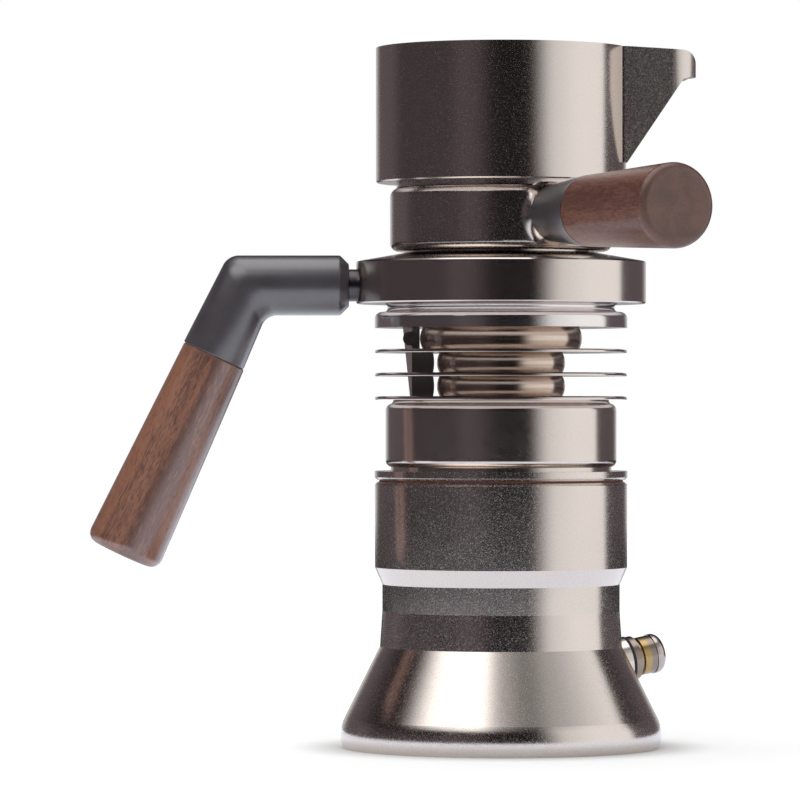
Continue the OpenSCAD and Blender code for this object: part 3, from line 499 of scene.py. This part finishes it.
# Long grip
# A tapered grip of walnut, turned on a lathe, oiled, and pushed on a steel rod that is
# screwed into the elbow. Its grain runs along the grip, with short dark pores.
def walnut(name, foot, turn, brown, pale, cut_end, gloss):
    """Oiled walnut whose grain runs along an axis that stands in a place.
    cut_end is where the grip ends on that axis, and shows its end grain."""
    material, start, shader = finish(name)
    place = start.node("TexCoord", output="Object")

    def grain(stretch):
        return start.node(
            "Mapping", {0: place, "Location": foot, "Rotation": turn, "Scale": (1, 1, stretch)},
            vector_type="TEXTURE")

    years = start.node("TexNoise", {
        "Vector": grain(16), "Scale": 160, "Detail": 3, "Distortion": 0.6})
    fibres = start.node("TexNoise", {
        "Vector": grain(9), "Scale": 2200, "Detail": 3, "Roughness": 0.65})
    cells = start.node("TexNoise", {"Vector": grain(7), "Scale": 3600, "Detail": 1})
    along = start.node("SeparateXYZ", {0: grain(1)}, output="Z")
    end_grain = along.rise(cut_end - 0.0022, cut_end - 0.0004)
    pores = cells.rise(0.55, 0.68) * (1 - 0.6 * end_grain)
    colour = (0.5 * years + 0.5 * fibres).rise(0.41, 0.59).colour(brown, pale)
    colour = (0.7 * pores).colour(colour, (0.045, 0.018, 0.012))
    colour = (0.5 * end_grain).colour(colour, (0.080, 0.054, 0.046))
    plug_in(shader, Base_Color=colour, Roughness=0.3 + 0.2 * fibres,
            Specular_IOR_Level=0.4 + 0.6 * gloss,
            Coat_Weight=gloss * (1 - 0.85 * end_grain), Coat_IOR=1.7, Coat_Roughness=0.22,
            Normal=start.node("Bump", {
                "Height": 0.5 * fibres - pores, "Strength": 0.5, "Distance": 0.00005}))
    return material


cover(walnut("walnut", foot=tuple(corner), turn=(0, math.pi + slant, 0),
             brown=(0.130, 0.040, 0.020), pale=(0.320, 0.122, 0.062), cut_end=0.0925, gloss=1.0),
      "handle_grip")

# Jug
# The cup that catches the coffee: turned, blasted and plated, with a bent pouring lip, a
# screwed neck below, and a chimney inside through which the coffee rises.
lip_from_r = 0.0391
jug_nickel = blasted_nickel("jug_nickel", 0.1, coarse_r=lip_from_r)
cover(jug_nickel, "jug", "coffee_chimney")
jug_thread = wound_wire(
    "jug_thread", coil_r=0.02725, wire_r=0.0008, low=0.1446, high=0.1536, turns=3)
jug_thread.data.materials.append(jug_nickel)
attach(jug_thread, "jug")

# Root of the jug's handle
# A hollow fillet of the same plated brass, where the boss for the handle leaves the jug's
# rounded wall. It is widest at the sides, and runs out above and below the boss.
handle_z, boss_r, root_size = 0.1654, 0.0085, 0.0032
body_r, body_inside_r = 0.0346, 0.0305
top_z, top_round = 0.1714, 0.003
bottom_z, bottom_round = 0.1572, 0.0026
room_above, room_below = 0.0086, 0.0104
sunk, tucked_in = 0.0001, 0.002
handle_turn = math.radians(-63)
outward = Vector((math.cos(handle_turn), math.sin(handle_turn), 0))
sideways = Vector((-outward.y, outward.x, 0))


def jug_wall(z):
    """Radius of the jug's lower body, which is rounded at the top and at the bottom."""
    if z > top_z:
        return body_r - top_round + math.sqrt(max(0, top_round ** 2 - (z - top_z) ** 2))
    if z < bottom_z:
        return body_r - bottom_round + math.sqrt(max(0, bottom_round ** 2 - (bottom_z - z) ** 2))
    return body_r


def root_point(aim, step):
    """Place of a point round the root: step 0 on the wall, 8 on the boss, 9 and 10 inside."""
    room = (room_above if math.sin(aim) > 0 else room_below) / max(1e-6, abs(math.sin(aim)))
    size = max(0.0002, min(root_size, room - boss_r))
    bend = math.radians(90 * min(step, 8) / 8)
    reach = boss_r + size * (1 - math.sin(bend)) - (tucked_in if step > 8 else 0)
    across, up = reach * math.cos(aim), reach * math.sin(aim)
    wall = math.sqrt(jug_wall(handle_z + up) ** 2 - across ** 2) - sunk
    out = body_inside_r if step == 10 else wall + size * (1 - math.cos(bend))
    return out * outward + across * sideways + Vector((0, 0, handle_z + up))


bpy.ops.mesh.primitive_circle_add(vertices=96, radius=boss_r)
root = bpy.context.object
root.name = "handle_root"
bpy.ops.object.mode_set(mode="EDIT")
aims = [math.atan2(vert.co.y, vert.co.x) for vert in root.data.vertices]
for step in range(11):
    if step:
        bpy.ops.mesh.extrude_region_move()
    mesh = bmesh.from_edit_mesh(root.data)
    for aim, vert in zip(aims, [vert for vert in mesh.verts if vert.select]):
        vert.co = root_point(aim, step)
    bmesh.update_edit_mesh(root.data)
select(root, "edges", lambda edge: edge.is_boundary)
bpy.ops.mesh.bridge_edge_loops()
bpy.ops.mesh.select_all(action="SELECT")
bpy.ops.mesh.normals_make_consistent(inside=False)
bpy.ops.object.mode_set(mode="OBJECT")
bpy.ops.object.shade_smooth_by_angle(angle=math.radians(50))
root.data.materials.append(jug_nickel)
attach(root, "jug")

# Ferrule
# A grey anodised cone, slipped over the boss on the jug's side. It holds the rod of the
# jug's grip, and a thin shadow line parts it from the wood.
ferrule_end, jug_end_r, grip_end_r = 0.0577, 0.0086, 0.0109
grip_wall, grip_hole = 0.0022, 0.004
boss_wall, boss_hole = 0.0015, 0.003
bpy.ops.mesh.primitive_cone_add(
    vertices=128, radius1=jug_end_r, radius2=grip_end_r, depth=ferrule_end - body_r,
    location=(body_r + ferrule_end) / 2 * outward + Vector((0, 0, handle_z)),
    rotation=(0, math.pi / 2, handle_turn))
ferrule = bpy.context.object
ferrule.name = "ferrule"
bpy.ops.object.transform_apply()
bpy.ops.object.mode_set(mode="EDIT")
select(ferrule, "faces", lambda face: face.normal.dot(outward) > 0.99)
bpy.ops.mesh.inset(thickness=grip_wall)
bpy.ops.mesh.extrude_region_move(TRANSFORM_OT_translate={"value": -grip_hole * outward})
select(ferrule, "faces", lambda face: face.normal.dot(outward) < -0.99)
bpy.ops.mesh.inset(thickness=boss_wall)
bpy.ops.mesh.extrude_region_move(TRANSFORM_OT_translate={"value": boss_hole * outward})
bpy.ops.object.mode_set(mode="OBJECT")
softened = ferrule.modifiers.new("softened", "BEVEL")
softened.width = 0.00012
softened.segments = 3
softened.angle_limit = math.radians(50)
bpy.ops.object.modifier_apply(modifier=softened.name)
bpy.ops.object.shade_smooth_by_angle(angle=math.radians(40))
ferrule.data.materials.append(turned_metal(
    "grey_ferrule", (0.30, 0.285, 0.295), (0.39, 0.375, 0.385), 0.44, ring_scale=3500,
    axis=(0, math.pi / 2, handle_turn), foot=(0, 0, handle_z)))
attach(ferrule, "jug")
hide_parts("jug_ferrule")

# Jug grip
# The short walnut grip of the jug, turned like the long one and pushed on its own rod.
# Its flat end shows the end grain.
cover(walnut("jug_walnut", foot=(0, 0, handle_z), turn=(0, math.pi / 2, handle_turn),
             brown=(0.110, 0.036, 0.023), pale=(0.210, 0.082, 0.054), cut_end=0.110, gloss=0.45),
      "jug_grip")
